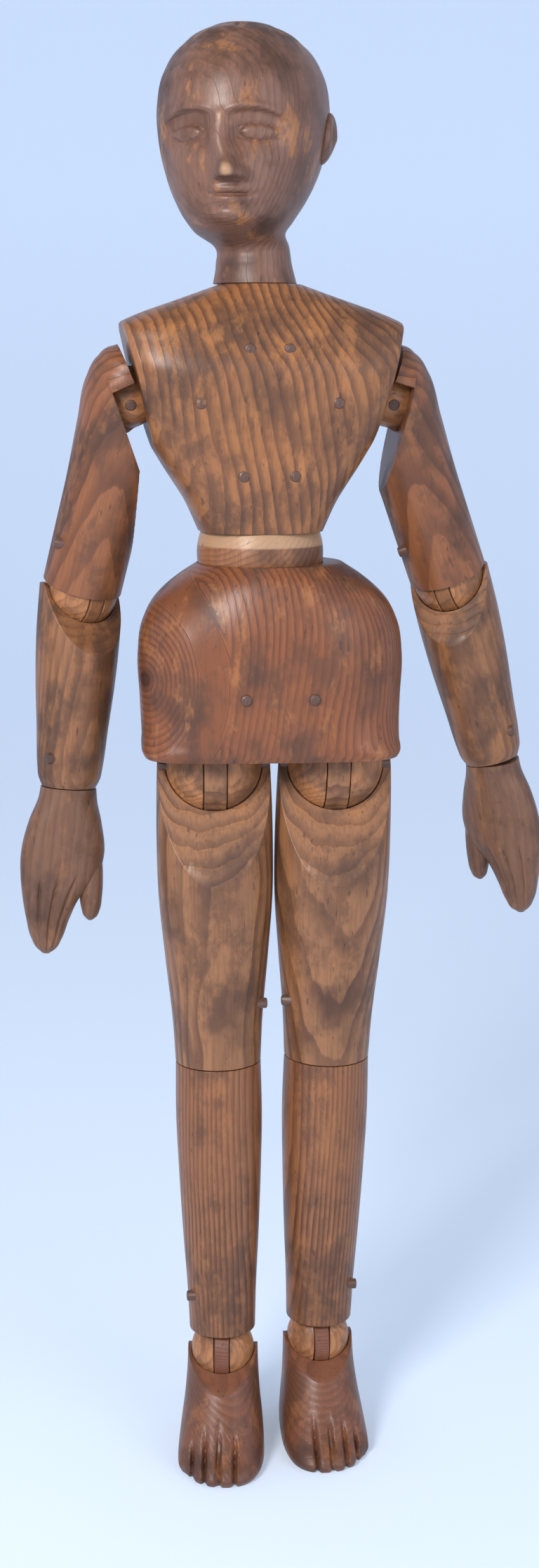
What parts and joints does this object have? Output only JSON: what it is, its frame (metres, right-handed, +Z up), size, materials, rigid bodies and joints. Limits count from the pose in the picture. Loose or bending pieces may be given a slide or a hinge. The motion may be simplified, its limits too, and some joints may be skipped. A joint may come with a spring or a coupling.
{
  "type": "articulated wooden mannequin",
  "caption": "Jointed wooden lay figure: carved head, chest, pelvis, limbs, hands and feet on turned balls and pinned tongues, posed by hand for drawing.",
  "frame": {"origin": "under the middle of the figure's box, on the surface that it stands on", "axes": "+Z up along the body, the figure faces -Y and its left side is +X"},
  "size_m": [0.2292, 0.1092, 0.6099],
  "materials": {
    "block_wood": "worn wax over dark stained pine",
    "ball_wood": "bare rubbed pine",
    "pin_wood": "dark hardwood end grain"
  },
  "bodies": {
    "pelvis": {"pelvis": "block_wood", "right_hip_peg": "pin_wood", "left_hip_peg": "pin_wood"},
    "waist_ball": {"waist_ball": "ball_wood", "waist_pin": "pin_wood"},
    "chest": {"chest": "block_wood", "right_neck_peg": "pin_wood", "left_neck_peg": "pin_wood", "right_waist_peg": "pin_wood", "left_waist_peg": "pin_wood", "right_shoulder_peg": "pin_wood", "left_shoulder_peg": "pin_wood"},
    "head": {"head": "block_wood"},
    "right_shoulder_ball": {"right_shoulder_ball": "ball_wood", "right_shoulder_pin": "pin_wood"},
    "right_upper_arm": {"right_upper_arm": "block_wood", "right_elbow_peg": "pin_wood"},
    "right_elbow_ball": {"right_elbow_ball": "ball_wood"},
    "right_forearm": {"right_forearm": "block_wood", "right_elbow_pin": "pin_wood", "right_wrist_peg": "pin_wood"},
    "right_hand": {"right_hand": "block_wood"},
    "left_shoulder_ball": {"left_shoulder_ball": "ball_wood", "left_shoulder_pin": "pin_wood"},
    "left_upper_arm": {"left_upper_arm": "block_wood", "left_elbow_peg": "pin_wood"},
    "left_elbow_ball": {"left_elbow_ball": "ball_wood"},
    "left_forearm": {"left_forearm": "block_wood", "left_elbow_pin": "pin_wood", "left_wrist_peg": "pin_wood"},
    "left_hand": {"left_hand": "block_wood"},
    "right_hip_ball": {"right_hip_ball": "ball_wood"},
    "right_thigh": {"right_thigh": "block_wood", "right_hip_pin": "pin_wood", "right_knee_peg": "pin_wood"},
    "right_knee_ball": {"right_knee_ball": "ball_wood"},
    "right_shin": {"right_shin": "block_wood", "right_knee_pin": "pin_wood", "right_ankle_peg": "pin_wood"},
    "right_ankle_ball": {"right_ankle_ball": "ball_wood"},
    "right_foot": {"right_foot": "block_wood", "right_ankle_pin": "pin_wood"},
    "left_hip_ball": {"left_hip_ball": "ball_wood"},
    "left_thigh": {"left_thigh": "block_wood", "left_hip_pin": "pin_wood", "left_knee_peg": "pin_wood"},
    "left_knee_ball": {"left_knee_ball": "ball_wood"},
    "left_shin": {"left_shin": "block_wood", "left_knee_pin": "pin_wood", "left_ankle_peg": "pin_wood"},
    "left_ankle_ball": {"left_ankle_ball": "ball_wood"},
    "left_foot": {"left_foot": "block_wood", "left_ankle_pin": "pin_wood"}
  },
  "joints": [
    {"name": "neck_swivel", "type": "hinge", "parent": "chest", "child": "head", "pos_m": [-0.01133, 0.00239, 0.50793], "axis": [0, 0, 1], "range_deg": [-55, 95]},
    {"name": "waist_tilt", "type": "hinge", "parent": "pelvis", "child": "waist_ball", "pos_m": [-0.01133, 0.00239, 0.39893], "axis": [0.9976, 0.0698, 0], "range_deg": [-11, 15]},
    {"name": "waist_swivel", "type": "hinge", "parent": "waist_ball", "child": "chest", "pos_m": [-0.01133, 0.00239, 0.39893], "axis": [0, 0, 1], "range_deg": [-54, 46]},
    {"name": "right_shoulder_swivel", "type": "hinge", "parent": "chest", "child": "right_shoulder_ball", "pos_m": [-0.0658, -0.00526, 0.46293], "axis": [-0.9609, -0.135, -0.2419], "range_deg": [-25, 165]},
    {"name": "right_shoulder_hinge", "type": "hinge", "parent": "right_shoulder_ball", "child": "right_upper_arm", "pos_m": [-0.0658, -0.00526, 0.46293], "axis": [-0.1964, 0.9478, 0.2511], "range_deg": [-2, 6]},
    {"name": "right_elbow_swivel", "type": "hinge", "parent": "right_upper_arm", "child": "right_elbow_ball", "pos_m": [-0.08763, 0.01179, 0.38151], "axis": [0.2539, -0.1982, 0.9467], "range_deg": [-80, 25]},
    {"name": "right_elbow_hinge", "type": "hinge", "parent": "right_elbow_ball", "child": "right_forearm", "pos_m": [-0.08763, 0.01179, 0.38151], "axis": [-0.8228, -0.5588, 0.1036], "range_deg": [-19, 26]},
    {"name": "right_wrist_swivel", "type": "hinge", "parent": "right_forearm", "child": "right_hand", "pos_m": [-0.09389, 0.00551, 0.29798], "axis": [0.0745, 0.0747, 0.9944], "range_deg": [-80, 80]},
    {"name": "left_shoulder_swivel", "type": "hinge", "parent": "chest", "child": "left_shoulder_ball", "pos_m": [0.04313, 0.01005, 0.46293], "axis": [-0.9609, -0.135, 0.2419], "range_deg": [-24, 166]},
    {"name": "left_shoulder_hinge", "type": "hinge", "parent": "left_shoulder_ball", "child": "left_upper_arm", "pos_m": [0.04313, 0.01005, 0.46293], "axis": [0.0677, -0.9612, -0.2675], "range_deg": [-5, 6]},
    {"name": "left_elbow_swivel", "type": "hinge", "parent": "left_upper_arm", "child": "left_elbow_ball", "pos_m": [0.07089, 0.03368, 0.38504], "axis": [0.3228, 0.2748, -0.9057], "range_deg": [-80, 40]},
    {"name": "left_elbow_hinge", "type": "hinge", "parent": "left_elbow_ball", "child": "left_forearm", "pos_m": [0.07089, 0.03368, 0.38504], "axis": [-0.9103, 0.3522, -0.2176], "range_deg": [-14, 41]},
    {"name": "left_wrist_swivel", "type": "hinge", "parent": "left_forearm", "child": "left_hand", "pos_m": [0.09194, 0.03789, 0.30383], "axis": [-0.2505, -0.0502, 0.9668], "range_deg": [-80, 80]},
    {"name": "right_hip_swivel", "type": "hinge", "parent": "pelvis", "child": "right_hip_ball", "pos_m": [-0.03129, 0.001, 0.30843], "axis": [0.0087, 0.0006, -1], "range_deg": [-5, 35]},
    {"name": "right_hip_hinge", "type": "hinge", "parent": "right_hip_ball", "child": "right_thigh", "pos_m": [-0.03129, 0.001, 0.30843], "axis": [-0.9975, -0.0698, -0.0087], "range_deg": [-2, 63]},
    {"name": "right_knee_swivel", "type": "hinge", "parent": "right_thigh", "child": "right_knee_ball", "pos_m": [-0.0298, -0.00357, 0.17502], "axis": [0.0111, -0.0342, -0.9994], "range_deg": [-4, 20]},
    {"name": "right_knee_hinge", "type": "hinge", "parent": "right_knee_ball", "child": "right_shin", "pos_m": [-0.0298, -0.00357, 0.17502], "axis": [0.9975, 0.0698, 0.0087], "range_deg": [0, 70]},
    {"name": "right_ankle_swivel", "type": "hinge", "parent": "right_shin", "child": "right_ankle_ball", "pos_m": [-0.02834, -0.00806, 0.0436], "axis": [0.0111, -0.0342, -0.9994], "range_deg": [-5, 30]},
    {"name": "right_ankle_hinge", "type": "hinge", "parent": "right_ankle_ball", "child": "right_foot", "pos_m": [-0.02834, -0.00806, 0.0436], "axis": [-0.9998, 0.0174, -0.0117], "range_deg": [-26, 22]},
    {"name": "left_hip_swivel", "type": "hinge", "parent": "pelvis", "child": "left_hip_ball", "pos_m": [0.02059, 0.00463, 0.30843], "axis": [0.0226, 0.0016, 0.9997], "range_deg": [-5, 35]},
    {"name": "left_hip_hinge", "type": "hinge", "parent": "left_hip_ball", "child": "left_thigh", "pos_m": [0.02059, 0.00463, 0.30843], "axis": [-0.9973, -0.0697, 0.0227], "range_deg": [0, 65]},
    {"name": "left_knee_swivel", "type": "hinge", "parent": "left_thigh", "child": "left_knee_ball", "pos_m": [0.01757, 0.00442, 0.17497], "axis": [0.0226, 0.0016, 0.9997], "range_deg": [-4, 20]},
    {"name": "left_knee_hinge", "type": "hinge", "parent": "left_knee_ball", "child": "left_shin", "pos_m": [0.01757, 0.00442, 0.17497], "axis": [0.9973, 0.0697, -0.0227], "range_deg": [0, 70]},
    {"name": "left_ankle_swivel", "type": "hinge", "parent": "left_shin", "child": "left_ankle_ball", "pos_m": [0.01459, 0.00421, 0.0435], "axis": [0.0226, 0.0016, 0.9997], "range_deg": [-10, 18]},
    {"name": "left_ankle_hinge", "type": "hinge", "parent": "left_ankle_ball", "child": "left_foot", "pos_m": [0.01459, 0.00421, 0.0435], "axis": [-0.9912, -0.1305, 0.0226], "range_deg": [-24, 24]}
  ]
}
